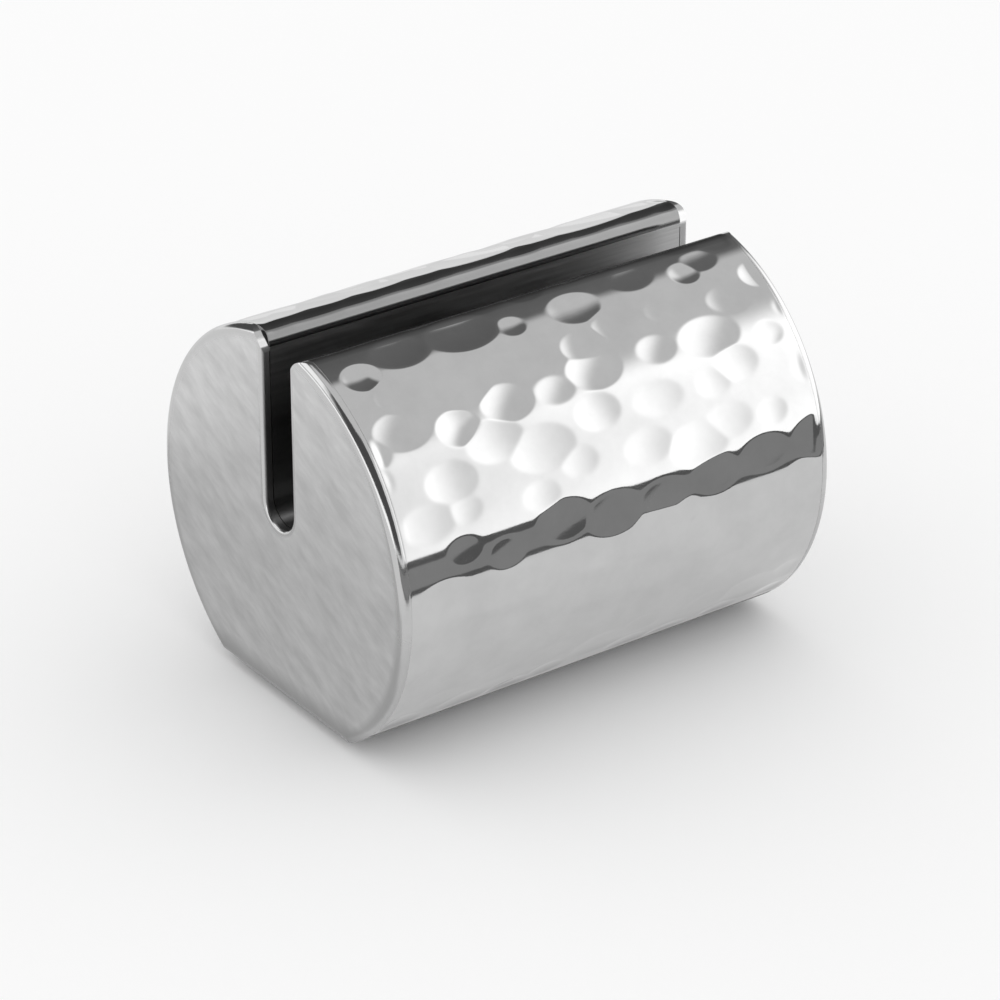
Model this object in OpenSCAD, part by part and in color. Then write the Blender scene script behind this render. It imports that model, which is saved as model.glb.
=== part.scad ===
// Hammered barrel place card holder.
// A short round barrel lies on a flat underside and takes a card in a slot along its crest.
// Two hammered side shells, a folded slot channel, two end plates and a base plate are brazed
// together round a ballast bar, and a thin pad under the base keeps the metal off the table.
// The barrel runs along X, +Z is up, and the origin is on the table below the middle of the barrel.

/* [Barrel] */
// Outside diameter of the round barrel
barrel_d = 26; // [22:0.5:36]
// Overall length, from end face to end face
holder_l = 31.5; // [26:0.5:60]
// Thickness of the hammered side shells
shell_t = 1.4; // [0.8:0.1:2]
// Height taken off the round barrel to make the flat underside
base_cut = 2; // [1:0.1:3]

/* [Hammer marks] */
// Spacing of the hammer marks along the barrel
mark_pitch = 3.4; // [2.8:0.1:6]
// Depth of the deepest hammer marks
mark_depth = 0.16; // [0.08:0.01:0.24]

/* [Card slot] */
// Clear width of the card slot
slot_w = 3; // [1.6:0.1:4]
// Depth of the card slot below the crest of the barrel
slot_depth = 12.5; // [8:0.5:14]
// Sheet thickness of the folded slot channel
channel_t = 0.8; // [0.6:0.1:1.2]
// Radius on the slot's front lip
front_lip_r = 1.6; // [0.5:0.1:2]
// Radius on the slot's rear lip
rear_lip_r = 1.3; // [0.5:0.1:2]

/* [End plates] */
// Thickness of an end plate
end_t = 0.6; // [0.6:0.1:2]
// Radius on the rim of an end plate
rim_r = 0.5; // [0.3:0.1:0.5]
// Radius on the edge of the notch in an end plate
notch_edge_r = 0.25; // [0.15:0.05:0.4]
// Depth of the register that fits inside the shells
register_t = 1; // [0.6:0.1:2]

/* [Base and ballast] */
// Thickness of the base plate
base_t = 1.2; // [0.8:0.1:2]
// Thickness of the pad under the base
pad_t = 0.6; // [0.4:0.1:1.5]
// Distance from the edge of the underside to the edge of the pad
pad_inset = 1.2; // [0.8:0.1:2.5]
// Room left round the ballast bar
ballast_gap = 0.3; // [0.2:0.1:1]

/* [Fits] */
// Gap that the braze fills between two pieces
braze_gap = 0.05; // [0.03:0.01:0.1]

/* [Hidden] */
$fn = 96;

// How far a cutting shape runs past what it cuts
overrun = 1;

// Barrel section, with heights above the table
barrel_r = barrel_d / 2;
shell_ri = barrel_r - shell_t;
axis_z = pad_t + barrel_r - base_cut;
crest_z = axis_z + barrel_r;
base_top_z = pad_t + base_t;
flat_w = 2 * sqrt(pow(barrel_r, 2) - pow(axis_z - pad_t, 2));

// Lengths along the barrel
shell_l = holder_l - 2 * (end_t + braze_gap);
ballast_l = shell_l - 2 * (register_t + ballast_gap);

// Slot channel section
channel_w = slot_w + 2 * channel_t;
slot_floor_z = crest_z - slot_depth;
fold_z = slot_floor_z + slot_w / 2;

// Middle of a lip's rounding, across and up from the barrel's axis, and the angle at which it ends
function lip_across(lip_r) = slot_w / 2 + lip_r;
function lip_up(lip_r) = sqrt(pow(barrel_r - lip_r, 2) - pow(lip_across(lip_r), 2));
function lip_angle(lip_r) = atan2(lip_across(lip_r), lip_up(lip_r));

// Ballast bar, which sits on the base plate and carries the channel
ballast_z = base_top_z + braze_gap;
ballast_top_z = slot_floor_z - channel_t - braze_gap;
ballast_r = shell_ri - ballast_gap;

// Pad under the base
pad_l = holder_l - 2 * pad_inset;
pad_w = flat_w - 2 * pad_inset;
pad_corner_share = 0.15;
pad_corner_r = pad_corner_share * pad_w;

// Hammer marks on one shell, counted round it from lip to foot and along it
row_share = 0.86;
foot_angle = 180 - acos((axis_z - base_top_z) / barrel_r);
function shell_arc_l(lip_r) = barrel_r * (foot_angle - lip_angle(lip_r)) * PI / 180;
function mark_rows(lip_r) = round(shell_arc_l(lip_r) / mark_pitch / row_share);
mark_cols = round(shell_l / mark_pitch);
col_l = shell_l / mark_cols;

// The ball that presses a mark, sized so that the deepest marks still stay apart
mark_share = 0.42;
mark_lift_share = 0.1;
mark_lift = mark_lift_share * mark_depth;
tool_r = pow(mark_share * mark_pitch, 2) / (2 * mark_depth);

// How unevenly the hammer falls, as shares of the spacing and of the depth
stagger_share = 0.5;
scatter_share = 0.14;
shallow_share = 0.4;

// Steps of three even spreads, which scatter the marks without clumps
along_step_share = 0.7549;
round_step_share = 0.5698;
depth_step_share = 0.6180;

// Place of a mark in an even spread, from 0 to 1
function spread(count, step) = count * step - floor(count * step);

// Draws a section of the holder, given across and up, as a bar along the barrel
module along_barrel(length) {
    rotate([90, 0, 90])
        linear_extrude(height = length, center = true)
            children();
}

// Half plane above a height
module above(height) {
    translate([-barrel_d, height])
        square([2 * barrel_d, 2 * barrel_d]);
}

// Round section about the barrel's axis
module round_section(radius) {
    translate([0, axis_z])
        circle(r = radius);
}

// Slot-shaped section: two straight walls and a round fold at the bottom
module fold_section(width) {
    translate([0, fold_z])
        circle(d = width);
    translate([-width / 2, fold_z])
        square([width, slot_depth + overrun]);
}

// Corner that the rounding takes off a lip on the slot's -Y side
module lip_corner(lip_r) {
    across = lip_across(lip_r);
    up = lip_up(lip_r);
    translate([-across, axis_z + up])
        difference() {
            polygon([[0, 0], [across, 0], [across, 2 * lip_r],
                     [-across, up] * 2 * lip_r / (barrel_r - lip_r)]);
            circle(r = lip_r);
        }
}

// Clear section of the slot, with the rounding of its lips, the one at -Y first
module slot_section(lip_rs) {
    fold_section(slot_w);
    for (side = [0, 1])
        mirror([side, 0])
            lip_corner(lip_rs[side]);
}

// One hammer mark, as the cap of the ball that dips into the shell
module hammer_mark(place, angle, depth) {
    translate([place, 0, axis_z])
        rotate([angle, 0, 0])
            translate([0, 0, barrel_r])
                intersection() {
                    translate([0, 0, tool_r - depth])
                        sphere(r = tool_r, $fn = 48);
                    translate([0, 0, -shell_t])
                        cylinder(d = mark_pitch, h = shell_t + mark_lift, $fn = 48);
                }
}

// All the hammer marks of one shell, in staggered rows from the lip to the foot
module hammer_marks(first, lip_r) {
    row_angle = (foot_angle - lip_angle(lip_r)) / mark_rows(lip_r);
    for (row = [0 : mark_rows(lip_r) - 1], col = [0 : mark_cols - row % 2]) {
        count = first + row * (mark_cols + 1) + col;
        along = col + row % 2 * stagger_share + scatter_share * (spread(count, along_step_share) - 0.5);
        around = row + 0.5 + scatter_share * (spread(count, round_step_share) - 0.5);
        hammer_mark(along * col_l - shell_l / 2,
                    lip_angle(lip_r) + around * row_angle,
                    mark_depth * (1 - shallow_share * spread(count, depth_step_share)));
    }
}

// Curved side shell in front of the slot; first is where it starts in the spread of the marks
module shell(first, lip_r) {
    difference() {
        along_barrel(shell_l)
            difference() {
                intersection() {
                    round_section(barrel_r);
                    above(base_top_z + braze_gap);
                    translate([-barrel_d - slot_w / 2, 0])
                        square([barrel_d, crest_z + overrun]);
                }
                round_section(shell_ri);
                lip_corner(lip_r);
            }
        hammer_marks(first, lip_r);
    }
}

module front_shell() {
    color([0.80, 0.80, 0.80])
        shell(0, front_lip_r);
}

module rear_shell() {
    color([0.80, 0.80, 0.80])
        rotate([0, 0, 180])
            shell(mark_rows(front_lip_r) * (mark_cols + 1), rear_lip_r);
}

// Whole round barrel with a rounded rim at each end, which the end plates follow
module rimmed_barrel() {
    translate([-holder_l / 2, 0, axis_z])
        rotate([0, 90, 0])
            rotate_extrude()
                union() {
                    square([barrel_r - rim_r, holder_l]);
                    translate([0, rim_r])
                        square([barrel_r, holder_l - 2 * rim_r]);
                    for (rim = [rim_r, holder_l - rim_r])
                        translate([barrel_r - rim_r, rim])
                            circle(r = rim_r);
                }
}

// Slice of the left end above the underside, with the rim's rounding on its lower edge
module rimmed_slice() {
    rotate([90, 0, 0])
        linear_extrude(height = 2 * barrel_d, center = true)
            translate([-holder_l / 2, pad_t])
                union() {
                    translate([rim_r, 0])
                        square([end_t - rim_r, barrel_d]);
                    translate([0, rim_r])
                        square([end_t, barrel_d]);
                    translate([rim_r, rim_r])
                        circle(r = rim_r);
                }
}

// Corner sliver that a rounding takes off a square edge
module edge_sliver(radius, past) {
    difference() {
        translate([-past, -past])
            square(radius + past);
        translate([radius, radius])
            circle(r = radius);
    }
}

// Rounding on the notch's edge at the left end: the fold first, then the two walls
module notch_rounding() {
    translate([-holder_l / 2, 0, 0]) {
        translate([0, 0, fold_z])
            rotate([-90, 0, -90])
                rotate_extrude(angle = 180)
                    translate([slot_w / 2, 0])
                        edge_sliver(notch_edge_r, slot_w / 4);
        for (side = [0, 1])
            mirror([0, side, 0])
                translate([0, slot_w / 2, fold_z])
                    linear_extrude(height = slot_depth)
                        edge_sliver(notch_edge_r, slot_w / 4);
    }
}

// End plate on the left, notched for the slot, with a register behind it that holds the channel
module end_plate(lip_rs) {
    difference() {
        intersection() {
            rimmed_barrel();
            rimmed_slice();
        }
        along_barrel(holder_l + 2 * overrun)
            slot_section(lip_rs);
        notch_rounding();
    }
    translate([-holder_l / 2 + end_t + register_t / 2, 0, 0])
        along_barrel(register_t)
            difference() {
                intersection() {
                    round_section(shell_ri - braze_gap);
                    above(base_top_z + braze_gap);
                }
                fold_section(channel_w + 2 * braze_gap);
            }
}

module left_end_plate() {
    color([0.70, 0.70, 0.70])
        end_plate([front_lip_r, rear_lip_r]);
}

module right_end_plate() {
    color([0.70, 0.70, 0.70])
        rotate([0, 0, 180])
            end_plate([rear_lip_r, front_lip_r]);
}

// Folded channel between the end plates; its walls stop under the shells
module card_channel() {
    color([0.45, 0.45, 0.45])
        along_barrel(shell_l)
            intersection() {
                difference() {
                    fold_section(channel_w);
                    slot_section([front_lip_r, rear_lip_r]);
                }
                round_section(shell_ri - braze_gap);
            }
}

module base_plate() {
    color([0.66, 0.66, 0.66])
        along_barrel(shell_l)
            difference() {
                intersection() {
                    round_section(barrel_r);
                    above(pad_t);
                }
                above(base_top_z);
            }
}

module ballast_bar() {
    color([0.38, 0.38, 0.40])
        along_barrel(ballast_l)
            difference() {
                intersection() {
                    round_section(ballast_r);
                    above(ballast_z);
                }
                above(ballast_top_z);
            }
}

module base_pad() {
    color([0.12, 0.12, 0.12])
        linear_extrude(height = pad_t)
            union() {
                square([pad_l - 2 * pad_corner_r, pad_w], center = true);
                square([pad_l, pad_w - 2 * pad_corner_r], center = true);
                for (end = [-1, 1], side = [-1, 1])
                    translate([end * (pad_l / 2 - pad_corner_r), side * (pad_w / 2 - pad_corner_r)])
                        circle(r = pad_corner_r);
            }
}

front_shell();
rear_shell();
left_end_plate();
right_end_plate();
card_channel();
base_plate();
ballast_bar();
base_pad();
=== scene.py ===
import math

import bpy
import numpy as np
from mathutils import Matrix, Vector


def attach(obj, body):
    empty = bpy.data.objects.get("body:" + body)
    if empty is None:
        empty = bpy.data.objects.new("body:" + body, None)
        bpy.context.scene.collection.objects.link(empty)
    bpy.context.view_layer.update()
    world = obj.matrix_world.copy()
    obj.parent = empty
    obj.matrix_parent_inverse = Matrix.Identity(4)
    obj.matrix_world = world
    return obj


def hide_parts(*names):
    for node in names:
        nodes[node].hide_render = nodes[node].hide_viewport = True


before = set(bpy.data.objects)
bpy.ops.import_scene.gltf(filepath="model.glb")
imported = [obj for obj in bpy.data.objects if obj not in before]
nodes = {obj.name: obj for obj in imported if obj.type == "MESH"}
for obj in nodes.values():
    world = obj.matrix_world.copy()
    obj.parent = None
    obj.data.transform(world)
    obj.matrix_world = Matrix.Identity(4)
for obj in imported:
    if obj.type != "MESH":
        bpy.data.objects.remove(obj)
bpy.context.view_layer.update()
mm = 0.001
print("frame loaded:", sorted(nodes))

# sizes that the pieces share, in mm, as the solids have them
barrel = {
    "radius": 13.0,
    "axisHeight": 11.6,
    "length": 31.5,
    "endThickness": 0.6,
    "shellThickness": 1.4,
    "slotWidth": 3.0,
    "foldHeight": 13.6,
    "footHeight": 1.85,
}


def greyColor(grey):
    return (grey, grey, grey, 1)


def startMaterial(name, metallic=0, grazing=1):
    material = bpy.data.materials.new(name)
    material.use_nodes = True
    shader = material.node_tree.nodes["Principled BSDF"]
    shader.inputs["Metallic"].default_value = metallic
    shader.inputs["Specular Tint"].default_value = greyColor(grazing)
    return material, material.node_tree, shader


def addNode(tree, kind, inputs=None, **settings):
    node = tree.nodes.new(kind)
    for key, value in settings.items():
        setattr(node, key, value)
    for key, value in (inputs or {}).items():
        if hasattr(value, "is_linked"):
            tree.links.new(value, node.inputs[key])
        else:
            node.inputs[key].default_value = value
    return node


def work(tree, operation, first, second):
    return addNode(tree, "ShaderNodeMath", {0: first, 1: second}, operation=operation).outputs["Value"]


def splitPlace(tree):
    place = addNode(tree, "ShaderNodeTexCoord")
    return addNode(tree, "ShaderNodeSeparateXYZ", {"Vector": place.outputs["Object"]})


def grain(tree, size, turn=0, detail=4, roughness=0.6):
    # noise whose flecks have this size in mm, turned about the barrel's axis
    place = addNode(tree, "ShaderNodeTexCoord")
    mapping = addNode(tree, "ShaderNodeMapping", {
        "Vector": place.outputs["Object"],
        "Rotation": (math.radians(turn), 0, 0),
        "Scale": [side * mm for side in size],
    }, vector_type="TEXTURE")
    noise = addNode(tree, "ShaderNodeTexNoise", {
        "Vector": mapping.outputs["Vector"], "Scale": 1, "Detail": detail, "Roughness": roughness,
    })
    return noise.outputs["Fac"]


grainMiddle = (0.3, 0.7)  # the part of a noise value that the greys and the roughness spread over


def spreadTo(tree, source, low, high, start=grainMiddle[0], stop=grainMiddle[1]):
    # what lies between start and stop as a value from low to high
    spread = addNode(tree, "ShaderNodeMapRange", {
        "Value": source, "From Min": start, "From Max": stop, "To Min": low, "To Max": high,
    })
    return spread.outputs["Result"]


def fade(tree, source, below, above, start, stop):
    # a value that changes over a stretch in mm
    return spreadTo(tree, source, below, above, start * mm, stop * mm)


def greyRamp(tree, source, dark, light):
    ramp = addNode(tree, "ShaderNodeValToRGB", {"Fac": source})
    for element, spot, grey in zip(ramp.color_ramp.elements, grainMiddle, (dark, light)):
        element.position = spot
        element.color = greyColor(grey)
    return ramp.outputs["Color"]


def bumpFrom(tree, shader, source, strength, height):
    bump = addNode(tree, "ShaderNodeBump", {"Height": source, "Strength": strength, "Distance": height * mm})
    tree.links.new(bump.outputs["Normal"], shader.inputs["Normal"])


def distanceFrom(tree, split, height, openAbove=False):
    # distance from a line along the barrel at this height, or from the upright sheet that stands on it
    up = work(tree, "SUBTRACT", split.outputs["Z"], height * mm)
    if openAbove:
        up = work(tree, "MINIMUM", up, 0.0)
    flat = addNode(tree, "ShaderNodeCombineXYZ", {"Y": split.outputs["Y"], "Z": up})
    return addNode(tree, "ShaderNodeVectorMath", {0: flat.outputs["Vector"]}, operation="LENGTH").outputs["Value"]


def mixColor(tree, share, first, second):
    if isinstance(second, float):
        second = greyColor(second)
    mix = addNode(tree, "ShaderNodeMix", {"Factor": share, 6: first, 7: second}, data_type="RGBA")
    return mix.outputs[2]


def mixValue(tree, share, first, second):
    mix = addNode(tree, "ShaderNodeMix", {"Factor": share, "A": first, "B": second})
    return mix.outputs["Result"]


def plainFinish(tree, shader, source, finish):
    # one grain gives the grey, the roughness and the relief
    tree.links.new(greyRamp(tree, source, finish["dark"], finish["light"]), shader.inputs["Base Color"])
    tree.links.new(spreadTo(tree, source, finish["smooth"], finish["rough"]), shader.inputs["Roughness"])
    bumpFrom(tree, shader, source, finish["relief"], finish["reliefHeight"])


# mirror-bright steel of the hammered sides, a little dulled on the slot's lips, with painted shade darkening the lips
# and the foot
hammeredFinish = {
    "dark": 0.6,
    "light": 0.66,
    "smooth": 0.03,
    "hazy": 0.08,
    "cloudSize": (3, 3, 3),
    "polishSize": (0.6, 0.2, 0.2),
    "polishMarks": 0.05,
    "polishHeight": 0.01,
    "footShadeGrey": 0.4,
    "footBelow": 2.1,
    "clearAbove": 3.8,
}


def makeHammeredSteel(name, lipShadeGrey, lipRough, lipFrom, lipTo, grazing=1):
    material, tree, shader = startMaterial(name, 1, grazing)
    cloud = grain(tree, hammeredFinish["cloudSize"])
    split = splitPlace(tree)
    slotReach = distanceFrom(tree, split, barrel["foldHeight"], True)
    wall = barrel["slotWidth"] / 2
    lip = fade(tree, slotReach, 1, 0, wall + lipFrom, wall + lipTo)
    foot = fade(tree, split.outputs["Z"], 1, 0, hammeredFinish["footBelow"], hammeredFinish["clearAbove"])
    grey = greyRamp(tree, cloud, hammeredFinish["dark"], hammeredFinish["light"])
    # painted shade: a darker grey along the foot and on the slot's lip
    grey = mixColor(tree, foot, grey, hammeredFinish["footShadeGrey"])
    tree.links.new(mixColor(tree, lip, grey, lipShadeGrey), shader.inputs["Base Color"])
    rough = spreadTo(tree, cloud, hammeredFinish["smooth"], hammeredFinish["hazy"])
    tree.links.new(mixValue(tree, lip, rough, lipRough), shader.inputs["Roughness"])
    polish = grain(tree, hammeredFinish["polishSize"])
    bumpFrom(tree, shader, polish, hammeredFinish["polishMarks"], hammeredFinish["polishHeight"])
    return material


# sheet of the slot, dull, with painted shade darkening it towards the bottom
channelFinish = {
    "dark": 0.48,
    "light": 0.6,
    "smooth": 0.28,
    "rough": 0.42,
    "drawnSize": (5, 0.2, 0.2),
    "drawnLines": 0.2,
    "drawnHeight": 0.01,
    "deepShadeGrey": 0.24,
    "deepBelow": 18.2,
    "clearAbove": 22.2,
}


def paintedSlotShade(tree, split, mouth):
    # paints shade into a grey, darker from the slot's mouth down
    deep = fade(tree, split.outputs["Z"], 1, 0, channelFinish["deepBelow"], channelFinish["clearAbove"])
    return mixColor(tree, deep, mouth, channelFinish["deepShadeGrey"])


def makeChannelSteel():
    material, tree, shader = startMaterial("channelSteel", 1)
    drawn = grain(tree, channelFinish["drawnSize"])
    grey = greyRamp(tree, drawn, channelFinish["dark"], channelFinish["light"])
    # painted shade: the sheet darkens towards the slot's bottom
    tree.links.new(paintedSlotShade(tree, splitPlace(tree), grey), shader.inputs["Base Color"])
    rough = spreadTo(tree, drawn, channelFinish["smooth"], channelFinish["rough"])
    tree.links.new(rough, shader.inputs["Roughness"])
    bumpFrom(tree, shader, drawn, channelFinish["drawnLines"], channelFinish["drawnHeight"])
    return material


# satin ends: short slanted brush strokes, with the upper rim and the notch's edge left polished, and painted shade
# darkening the lower rim, the foot and the slot's walls
satinFinish = {
    "dark": 0.64,
    "light": 0.78,
    "smooth": 0.31,
    "rough": 0.4,
    "slant": 25,
    "strokeSize": (1.5, 2.4, 0.8),
    "strokeBreak": 0.55,
    "fineSize": (0.5, 1.6, 0.1),
    "fineBreak": 0.6,
    "layers": 3,
    "strokeDepth": 0.12,
    "strokeHeight": 0.01,
    "rimFrom": 0.9,
    "rimTo": 0.45,
    "notchFrom": 0.2,
    "notchTo": 0.45,
    "slotFrom": 0.02,
    "slotTo": 0.08,
    "edgeGrey": 0.64,
    "edgeRough": 0.12,
    "lowRimShadeGrey": 0.57,
    "dullBelow": 8.5,
    "polishedAbove": 13.5,
    "footShadeGrey": 0.36,
    "footBelow": 0.9,
    "clearAbove": 2.4,
}


def makeSatinSteel():
    material, tree, shader = startMaterial("satinSteel", 1)
    slant, layers = satinFinish["slant"], satinFinish["layers"]
    strokes = grain(tree, satinFinish["strokeSize"], slant, layers, satinFinish["strokeBreak"])
    fine = grain(tree, satinFinish["fineSize"], slant, layers, satinFinish["fineBreak"])
    split = splitPlace(tree)
    up = split.outputs["Z"]
    # how far a point lies from the barrel's axis, and from the middle of the slot
    reach = distanceFrom(tree, split, barrel["axisHeight"])
    slotReach = distanceFrom(tree, split, barrel["foldHeight"], True)
    radius, wall = barrel["radius"], barrel["slotWidth"] / 2
    rim = fade(tree, reach, 0, 1, radius - satinFinish["rimFrom"], radius - satinFinish["rimTo"])
    shine = fade(tree, up, 0, 1, satinFinish["dullBelow"], satinFinish["polishedAbove"])
    brightRim = work(tree, "MULTIPLY", rim, shine)
    # painted shade: the rim below the polished top gets a darker grey
    shadedLowRim = work(tree, "SUBTRACT", rim, brightRim)
    notch = fade(tree, slotReach, 1, 0, wall + satinFinish["notchFrom"], wall + satinFinish["notchTo"])
    edge = work(tree, "MAXIMUM", brightRim, notch)
    # painted shade: the end darkens near the table
    foot = fade(tree, up, 1, 0, satinFinish["footBelow"], satinFinish["clearAbove"])
    slot = fade(tree, slotReach, 1, 0, wall + satinFinish["slotFrom"], wall + satinFinish["slotTo"])
    grey = greyRamp(tree, strokes, satinFinish["dark"], satinFinish["light"])
    for share, tone in ((edge, "edgeGrey"), (shadedLowRim, "lowRimShadeGrey"), (foot, "footShadeGrey")):
        grey = mixColor(tree, share, grey, satinFinish[tone])
    # painted shade on the slot's walls, as on the channel sheet
    wallShadeGrey = paintedSlotShade(tree, split, greyColor(channelFinish["dark"]))
    tree.links.new(mixColor(tree, slot, grey, wallShadeGrey), shader.inputs["Base Color"])
    rough = spreadTo(tree, fine, satinFinish["smooth"], satinFinish["rough"])
    rough = mixValue(tree, edge, rough, satinFinish["edgeRough"])
    tree.links.new(mixValue(tree, slot, rough, channelFinish["rough"]), shader.inputs["Roughness"])
    bumpFrom(tree, shader, fine, satinFinish["strokeDepth"], satinFinish["strokeHeight"])
    return material


# base plate: dull, with a dark grey and a weaker grazing reflection as painted shade, so its edge draws a darker line
# under the barrel
baseFinish = {
    "dark": 0.28,
    "light": 0.38,
    "smooth": 0.25,
    "rough": 0.4,
    "drawnSize": (6, 0.3, 0.3),
    "relief": 0.15,
    "reliefHeight": 0.01,
    "grazing": 0.5,
}


def makeBaseSteel():
    material, tree, shader = startMaterial("baseSteel", 1, baseFinish["grazing"])
    plainFinish(tree, shader, grain(tree, baseFinish["drawnSize"]), baseFinish)
    return material


# plain iron bar sealed inside, with its mill scale
ballastFinish = {
    "dark": 0.1,
    "light": 0.2,
    "smooth": 0.5,
    "rough": 0.7,
    "metallic": 0.8,
    "scaleSize": (1.2, 1.2, 1.2),
    "scaleLayers": 6,
    "scaleBreak": 0.7,
    "relief": 0.4,
    "reliefHeight": 0.05,
}


def makeBallastIron():
    material, tree, shader = startMaterial("ballastIron", ballastFinish["metallic"])
    scale = grain(tree, ballastFinish["scaleSize"], 0, ballastFinish["scaleLayers"], ballastFinish["scaleBreak"])
    plainFinish(tree, shader, scale, ballastFinish)
    return material


# thin black pad underneath, with fine pores
padFinish = {
    "dark": 0.018,
    "light": 0.04,
    "smooth": 0.62,
    "rough": 0.85,
    "poreSize": (0.35, 0.35, 0.35),
    "poreLayers": 3,
    "poreBreak": 0.5,
    "relief": 0.5,
    "reliefHeight": 0.05,
}


def makePadRubber():
    material, tree, shader = startMaterial("padRubber")
    pores = grain(tree, padFinish["poreSize"], 0, padFinish["poreLayers"], padFinish["poreBreak"])
    plainFinish(tree, shader, pores, padFinish)
    return material


satinSteel = makeSatinSteel()
channelSteel = makeChannelSteel()
finishOf = {
    "left_end_plate": satinSteel,
    "right_end_plate": satinSteel,
    "card_channel": channelSteel,
    "base_plate": makeBaseSteel(),
    "ballast_bar": makeBallastIron(),
    "base_pad": makePadRubber(),
}
for name, finish in finishOf.items():
    nodes[name].data.materials.clear()
    nodes[name].data.materials.append(finish)
print("finishes on", len(finishOf), "solids")

# hammered sides: each blow leaves the shallow dish of a round hammer face, the lowest dish wins,
# and the ridges between are soft
hammer = {
    "along": 3.7,
    "around": 2.45,
    "scatter": 0.6,
    "faceLow": 7,
    "faceHigh": 24,
    "depthLow": 0.05,
    "depthHigh": 0.125,
    "tilt": 0.02,
    "ridgeSoft": 0.008,
    "step": 0.1,
    "endRound": 0.015,
    "endFade": 0.6,
    "footFade": 0.9,
    "lipFade": (-1.6, 0.2),  # the blows fade over this stretch at the lip
    "lipSamples": 241,
    "lipRounds": 40,
    "lipStart": 0.03,
    "lipKeep": 4,
    "seamClose": 0.045,  # how much of the brazed seams the meshes take up
    "endGap": 0.005,
}
# each side: which solid it stands for, its own throw of blows, its slot lip as the radius in mm of each bend
# up to a turn in degrees, and the row of flatter blows along the lip: how far from it, how deep, how uneven
# the lip's grey, and the front lip's weaker grazing reflection, are painted shade that darkens it; its roughness is
# the lip's own
sides = {
    "frontShell": {
        "node": "front_shell",
        "halfTurn": False,
        "seed": 11,
        "lipBends": [(125, 1.6)],
        "lipShadeAndFinish": {"lipShadeGrey": 0.2, "lipRough": 0.35, "lipFrom": 0.9, "lipTo": 1.7},
        "lipGrazingShade": 0.35,
    },
    "rearShell": {
        "node": "rear_shell",
        "halfTurn": True,
        "seed": 23,
        "lipBends": [(42, 1.2), (66, 0.3), (125, 1.5)],
        "lipShadeAndFinish": {"lipShadeGrey": 0.26, "lipRough": 0.14, "lipFrom": 1.0, "lipTo": 1.5},
        "lipGrazingShade": 1.0,
        "lipBlows": {
            "away": 1.1, "depth": 0.13, "spacing": 3.6, "face": 40, "unequal": 0.45, "tilt": 0.01, "wander": 0.5,
        },
    },
}


def stepsWithFineEnds(low, high, step, fine):
    inner = np.linspace(low + fine, high - fine, max(2, round((high - low - 2 * fine) / step)))
    edge = fine * np.array([0, 0.12, 0.3, 0.55, 0.8])  # shares of the rounded edge
    return np.concatenate([low + edge, inner, high - edge[::-1]])


def layBlows(length, arc, seed):
    dice = np.random.default_rng(seed)
    rows = round(arc / hammer["around"])
    cols = round(length / hammer["along"])
    blows = []
    for row in range(-1, rows + 1):
        for col in range(-1, cols + 1):
            shift = hammer["scatter"] * (dice.random(2) - 0.5)
            blows.append((
                (col + 0.5 + 0.5 * (row % 2) + shift[0]) * length / cols - length / 2,
                (row + 0.5 + shift[1]) * arc / rows,
                1 / dice.uniform(hammer["faceLow"], hammer["faceHigh"]),
                dice.uniform(hammer["depthLow"], hammer["depthHigh"]),
                *(hammer["tilt"] * dice.standard_normal(2)),
            ))
    return blows


def layLipBlows(length, seed, away, depth, spacing, face, unequal, tilt, wander):
    dice = np.random.default_rng(seed + 1)
    cols = round(length / spacing)
    blows = []
    for col in range(-1, cols + 1):
        shift = hammer["scatter"] * (dice.random(2) - 0.5)
        blows.append((
            (col + 0.5 + shift[0]) * length / cols - length / 2,
            away + wander * shift[1],
            1 / face,
            depth * dice.uniform(1 - unequal, 1 + unequal),
            tilt * dice.standard_normal(),
            0.4 * tilt * dice.standard_normal(),
        ))
    return blows


def hammeredHeight(along, around, blows):
    # soft minimum of the dishes and of the untouched round, in mm
    total = np.ones((len(along), len(around)))
    for place, turn, bend, depth, tiltAlong, tiltAround in blows:
        dx, ds = along[:, None] - place, around[None, :] - turn
        bow = (dx ** 2 * bend + ds ** 2 * (bend + 1 / barrel["radius"])) / 2
        dish = bow - depth + tiltAlong * dx + tiltAround * ds
        total += np.exp(np.clip(-dish / hammer["ridgeSoft"], -60, 60))
    return -hammer["ridgeSoft"] * np.log(total)


def lipSection(lipBends):
    # lip from the slot's wall round to the barrel, one bend after another
    lip = 0.2  # a first guess in radians, which the rounds settle
    for _ in range(hammer["lipRounds"]):
        turn = np.linspace(0, math.pi / 2 + lip, hammer["lipSamples"])
        bend = np.array([next(size for upTo, size in lipBends if angle <= upTo) for angle in np.degrees(turn)])
        step = np.stack([np.sin(turn), np.cos(turn)], 1) * bend[:, None] * (turn[1] - turn[0])
        path = np.vstack([[0, 0], np.cumsum((step[1:] + step[:-1]) / 2, 0)])
        lip = math.asin((barrel["slotWidth"] / 2 + path[-1, 0]) / barrel["radius"])
    across = -barrel["slotWidth"] / 2 - path[:, 0]
    up = barrel["radius"] * math.cos(lip) + path[:, 1] - path[-1, 1]
    place = np.stack([across, up], 1)
    return lip, turn, place


def smoothStep(low, high, value):
    share = np.clip((value - low) / (high - low), 0, 1)
    return share * share * (3 - 2 * share)


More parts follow.
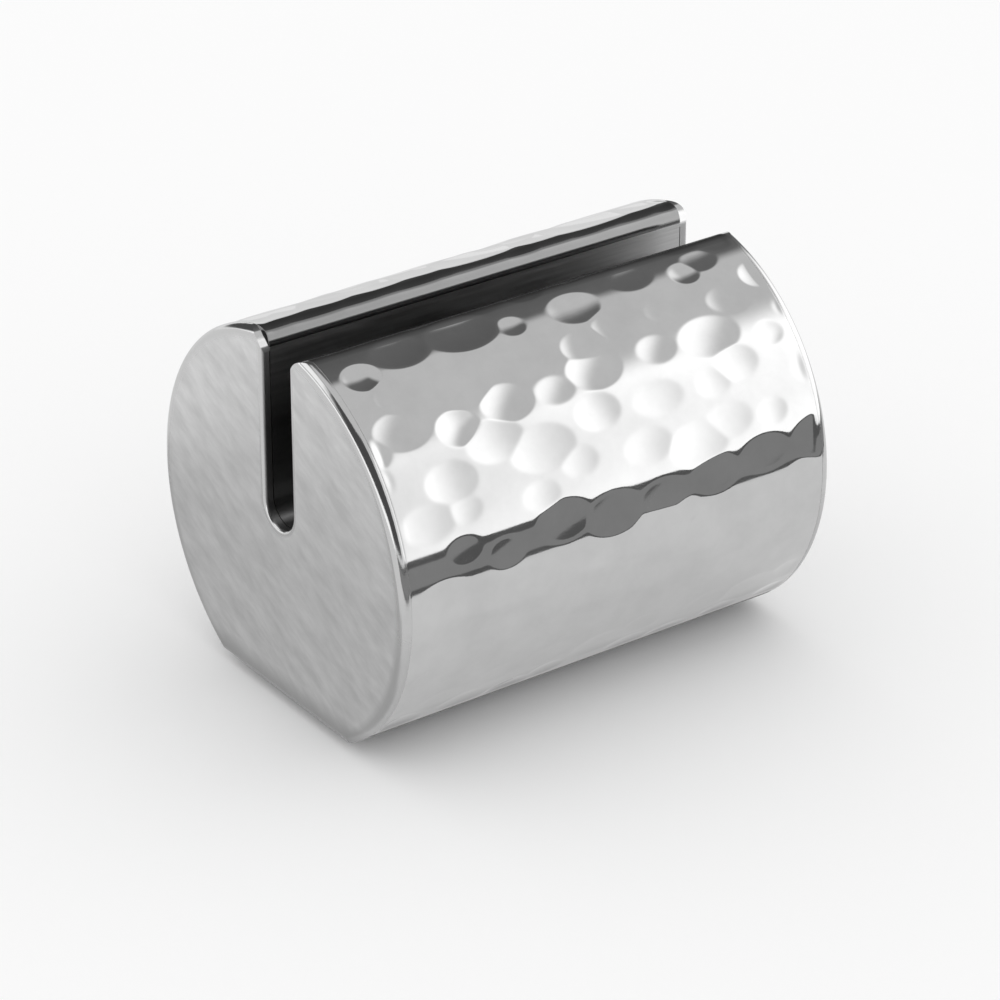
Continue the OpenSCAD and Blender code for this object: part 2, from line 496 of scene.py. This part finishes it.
def makeShell(name, node, halfTurn, seed, lipBends, lipShadeAndFinish, lipGrazingShade, lipBlows=None):
    radius, axis = barrel["radius"], barrel["axisHeight"]
    inner = radius - barrel["shellThickness"] - hammer["seamClose"]
    reach = barrel["length"] / 2 - barrel["endThickness"] - hammer["endGap"]
    lip, turn, lipPath = lipSection(lipBends)
    # the rounding starts where it leaves the shell's inside, and every few samples are kept
    outside = np.flatnonzero(np.hypot(*lipPath.T) > inner + hammer["lipStart"])[:-1:hammer["lipKeep"]]
    foot = math.pi - math.acos((axis - barrel["footHeight"]) / radius)
    arc = radius * (foot - lip)

    # section from the slot's wall round the lip and down to the foot: place, outward direction, distance from the lip
    turn, lipPath = turn[outside], lipPath[outside]
    lipOut = np.stack([np.cos(turn), np.sin(turn)], 1)
    side = stepsWithFineEnds(0, arc, hammer["step"], hammer["endRound"])
    angle = lip + side / radius
    sideOut = np.stack([-np.sin(angle), np.cos(angle)], 1)
    out = np.vstack([lipOut, sideOut])
    section = np.vstack([lipPath, radius * sideOut])
    back = np.hypot(*np.diff(np.vstack([lipPath, radius * sideOut[:1]]), axis=0).T)
    around = np.concatenate([-np.cumsum(back[::-1])[::-1], side])

    along = stepsWithFineEnds(-reach, reach, hammer["step"], hammer["endRound"])
    blows = layBlows(2 * reach, arc, seed)
    if lipBlows:
        blows += layLipBlows(2 * reach, seed, **lipBlows)
    height = hammeredHeight(along, around, blows)
    height *= (smoothStep(*hammer["lipFade"], around) * smoothStep(0, hammer["footFade"], arc - around))[None, :]
    height *= smoothStep(0, hammer["endFade"], reach - np.abs(along))[:, None]
    close = np.clip(hammer["endRound"] - (reach - np.abs(along)), 0, None)[:, None]
    height = height - (hammer["endRound"] - np.sqrt(hammer["endRound"] ** 2 - close ** 2))

    rows, cols = len(along), len(around)
    verts = np.empty((rows, cols, 3))
    verts[..., 0] = along[:, None]
    verts[..., 1:] = section[None] + height[..., None] * out[None]
    outer = np.arange(rows * cols).reshape(rows, cols)
    faces = np.stack([outer[:-1, :-1], outer[1:, :-1], outer[1:, 1:], outer[:-1, 1:]], -1).reshape(-1, 4).tolist()
    smooth = [True] * len(faces)

    # the inside is plain, and walls close the lip, the foot and the two ends
    innerLip = math.asin(-section[0, 0] / inner)
    innerFoot = math.pi - math.acos((axis - barrel["footHeight"]) / inner)
    innerAngle = np.interp(around, [around[0], around[-1]], [innerLip, innerFoot])
    loop = [(row, 0) for row in range(rows)] + [(rows - 1, col) for col in range(1, cols)]
    loop += [(row, cols - 1) for row in range(rows - 2, -1, -1)] + [(0, col) for col in range(cols - 2, 0, -1)]
    spot = {place: rows * cols + i for i, place in enumerate(loop)}
    innerVerts = [(along[r], -inner * math.sin(innerAngle[c]), inner * math.cos(innerAngle[c])) for r, c in loop]
    for here, there in zip(loop, loop[1:] + loop[:1]):
        faces.append([outer[there], outer[here], spot[here], spot[there]])
    for col in range(cols - 1):
        low, high = ([spot[row, side] for row in range(rows) if side in (0, cols - 1) or row in (0, rows - 1)]
                     for side in (col, col + 1))
        faces.append(high + low[::-1])
    finish = np.zeros(len(faces), np.int32)
    finish[:len(smooth)].reshape(rows - 1, cols - 1)[:, :len(lipPath)] = 1
    finish[len(smooth):len(smooth) + rows - 1] = 2  # the slot's side of the shell
    smooth += [False] * (len(faces) - len(smooth))

    points = np.vstack([verts.reshape(-1, 3), innerVerts])
    points[:, 2] += axis
    if halfTurn:
        points[:, :2] *= -1
    mesh = bpy.data.meshes.new(name)
    mesh.from_pydata((points * mm).tolist(), [], faces)
    mesh.polygons.foreach_set("use_smooth", smooth)
    mesh.materials.append(makeHammeredSteel(name + "Steel", **lipShadeAndFinish))
    mesh.materials.append(makeHammeredSteel(name + "Lip", **lipShadeAndFinish, grazing=lipGrazingShade))
    mesh.materials.append(channelSteel)
    mesh.polygons.foreach_set("material_index", finish)
    shell = bpy.data.objects.new(name, mesh)
    bpy.context.scene.collection.objects.link(shell)
    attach(shell, "root")
    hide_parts(node)
    print(name, "faces:", len(mesh.polygons))


for name, side in sides.items():
    makeShell(name, **side)

# camera at the photo's angle, sizes in mm
shot = {
    "azimuth": -35.61,
    "elevation": 27.93,
    "distance": 260.7,
    "lens": 153.41,
    "sensor": 36,
    "aimHeight": 11.6,
    "aimRight": 0.278,
    "aimUp": -2.119,
    "clip": (0.01, 20),
}


def placeCamera():
    turn, rise = math.radians(shot["azimuth"]), math.radians(shot["elevation"])
    back = Vector((math.sin(turn) * math.cos(rise), -math.cos(turn) * math.cos(rise), math.sin(rise)))
    right = Vector((math.cos(turn), math.sin(turn), 0))
    aim = Vector((0, 0, shot["aimHeight"])) + right * shot["aimRight"] + back.cross(right) * shot["aimUp"]
    camera = bpy.data.objects.new("camera", bpy.data.cameras.new("camera"))
    camera.data.lens, camera.data.sensor_width = shot["lens"], shot["sensor"]
    camera.data.clip_start, camera.data.clip_end = shot["clip"]
    camera.location = (aim + back * shot["distance"]) * mm
    camera.rotation_mode = "QUATERNION"
    camera.rotation_quaternion = (-back).to_track_quat("-Z", "Y")
    bpy.context.scene.collection.objects.link(camera)
    bpy.context.scene.camera = camera
    bpy.context.scene.view_settings.view_transform = "Standard"


placeCamera()
print("camera set")

# plain pale floor under even white light
floorSet = {"size": 4.0, "grey": 0.97, "rough": 0.9, "skyStrength": 1.0, "mirrorGlow": 0.74, "mirrorShare": 0.6}


def makeStageMesh(name, verts, faces, material):
    mesh = bpy.data.meshes.new(name)
    mesh.from_pydata(verts, [], faces)
    mesh.materials.append(material)
    piece = bpy.data.objects.new(name, mesh)
    bpy.context.scene.collection.objects.link(piece)
    return piece


def makeFloor():
    material, tree, shader = startMaterial("paleFloor")
    shader.inputs["Base Color"].default_value = greyColor(floorSet["grey"])
    shader.inputs["Roughness"].default_value = floorSet["rough"]
    shader.inputs["Specular IOR Level"].default_value = 0
    # the metal mirrors the floor as partly free of shadow
    light = addNode(tree, "ShaderNodeLightPath")
    share = work(tree, "MULTIPLY", light.outputs["Is Glossy Ray"], floorSet["mirrorShare"])
    plain = addNode(tree, "ShaderNodeEmission", {"Strength": floorSet["mirrorGlow"]})
    mixed = addNode(tree, "ShaderNodeMixShader", {0: share, 1: shader.outputs["BSDF"], 2: plain.outputs["Emission"]})
    tree.links.new(mixed.outputs["Shader"], tree.nodes["Material Output"].inputs["Surface"])
    half = floorSet["size"] / 2
    corners = [(-half, -half, 0), (half, -half, 0), (half, half, 0), (-half, half, 0)]
    makeStageMesh("floor", corners, [(0, 1, 2, 3)], material)
    world = bpy.data.worlds.new("evenSky")
    world.use_nodes = True
    background = world.node_tree.nodes["Background"]
    background.inputs["Color"].default_value = greyColor(1)
    background.inputs["Strength"].default_value = floorSet["skyStrength"]
    bpy.context.scene.world = world


makeFloor()

# light tent that only the metal mirrors; windows are azimuth and elevation spans in degrees with a soft edge,
# and later ones cover earlier ones
tent = {
    "radius": 0.5,
    "plain": 1.0,
    "lowest": -2,
    "step": (1.5, 1.0),
    "windows": [
        {"name": "ceiling", "azimuth": (-180, 180, 1), "elevation": (47, 120, 3), "glow": (0.72, 0.72)},
        {"name": "sideWall", "azimuth": (-150, -50, 5), "elevation": (-30, 48, 3), "glow": (0.95, 0.95)},
        {"name": "softBox", "azimuth": (-65, 14, 14), "elevation": (-30, 47, 5), "glow": (1.64, 1.64), "lean": 0.33},
        {"name": "darkRoom", "azimuth": (22, 276, 4), "elevation": (4.5, 66, 2), "glow": (0.17, 0.09), "over": (29, 60)},
        {"name": "rearLamp", "azimuth": (126, 164, 8), "elevation": (18, 62, 5), "glow": (1.3, 1.3)},
        {"name": "lowCard", "azimuth": (120, 215, 5), "elevation": (-5, 12, 2), "glow": (1.45, 1.45)},
    ],
}


def softSpan(value, low, high, soft):
    return smoothStep(low - soft, low + soft, value) * (1 - smoothStep(high - soft, high + soft, value))


def tentGlow(azimuth, elevation):
    glow = np.full(azimuth.shape, tent["plain"])
    for window in tent["windows"]:
        low, high, soft = window["azimuth"]
        turned = (azimuth - (low + high) / 2 + 180) % 360 - 180 + (low + high) / 2
        lean = window.get("lean", 0) * elevation
        share = np.ones(azimuth.shape)
        if high - low < 360:
            share = softSpan(turned, low + lean, high, soft)
        share = share * softSpan(elevation, *window["elevation"])
        level = np.interp(turned, window.get("over", (0, 1)), window["glow"])
        glow = glow * (1 - share) + level * share
    return glow


def glowMaterial(name, strength=None):
    material = bpy.data.materials.new(name)
    material.use_nodes = True
    tree = material.node_tree
    tree.nodes.clear()
    emission = addNode(tree, "ShaderNodeEmission", {"Strength": strength or 1})
    if strength is None:
        level = addNode(tree, "ShaderNodeAttribute", attribute_name="glow")
        tree.links.new(level.outputs["Fac"], emission.inputs["Strength"])
    addNode(tree, "ShaderNodeOutputMaterial", {"Surface": emission.outputs["Emission"]})
    return material


def onlyMirrored(piece):
    for ray in ("camera", "diffuse", "shadow", "transmission"):
        setattr(piece, "visible_" + ray, False)


def makeTent():
    around, up = tent["step"]
    azimuth, elevation = np.meshgrid(np.arange(-180, 180, around), np.arange(tent["lowest"], 90, up))
    turn, rise = np.radians(azimuth), np.radians(elevation)
    verts = tent["radius"] * np.stack([np.cos(turn) * np.cos(rise), np.sin(turn) * np.cos(rise), np.sin(rise)], -1)
    verts[..., 2] += barrel["axisHeight"] * mm
    rows, cols = azimuth.shape
    grid = np.arange(rows * cols).reshape(rows, cols)
    there = np.roll(grid, -1, 1)
    faces = np.stack([grid[:-1], grid[1:], there[1:], there[:-1]], -1).reshape(-1, 4).tolist() + [grid[-1].tolist()]
    piece = makeStageMesh("lightTent", verts.reshape(-1, 3).tolist(), faces, glowMaterial("lightTent"))
    glow = tentGlow(azimuth, elevation).ravel().astype(np.float32)
    piece.data.attributes.new("glow", "FLOAT", "POINT").data.foreach_set("value", glow)
    onlyMirrored(piece)


makeTent()

# cards that only the metal mirrors, corner to corner in mm: a low strip with a paler middle draws the dark line
# along the side, and one on the table shades the near end
cards = {
    "lowStrip": {"x": (-60, 160), "y": (-42, -42), "z": (2.5, 14.6), "glow": 0.12},
    "stripMiddle": {"x": (-60, 160), "y": (-41.6, -41.6), "z": (4.6, 12.2), "glow": 0.29},
    "tableCard": {"x": (-36, -16.5), "y": (-14, 34), "z": (0.3, 0.3), "glow": 0.53},
}


def makeCard(name, x, y, z, glow):
    corners = [(x[0], y[0], z[0]), (x[1], y[0], z[0]), (x[1], y[1], z[1]), (x[0], y[1], z[1])]
    verts = [[side * mm for side in corner] for corner in corners]
    onlyMirrored(makeStageMesh(name, verts, [(0, 1, 2, 3)], glowMaterial(name, glow)))


for name, card in cards.items():
    makeCard(name, **card)
print("studio set")
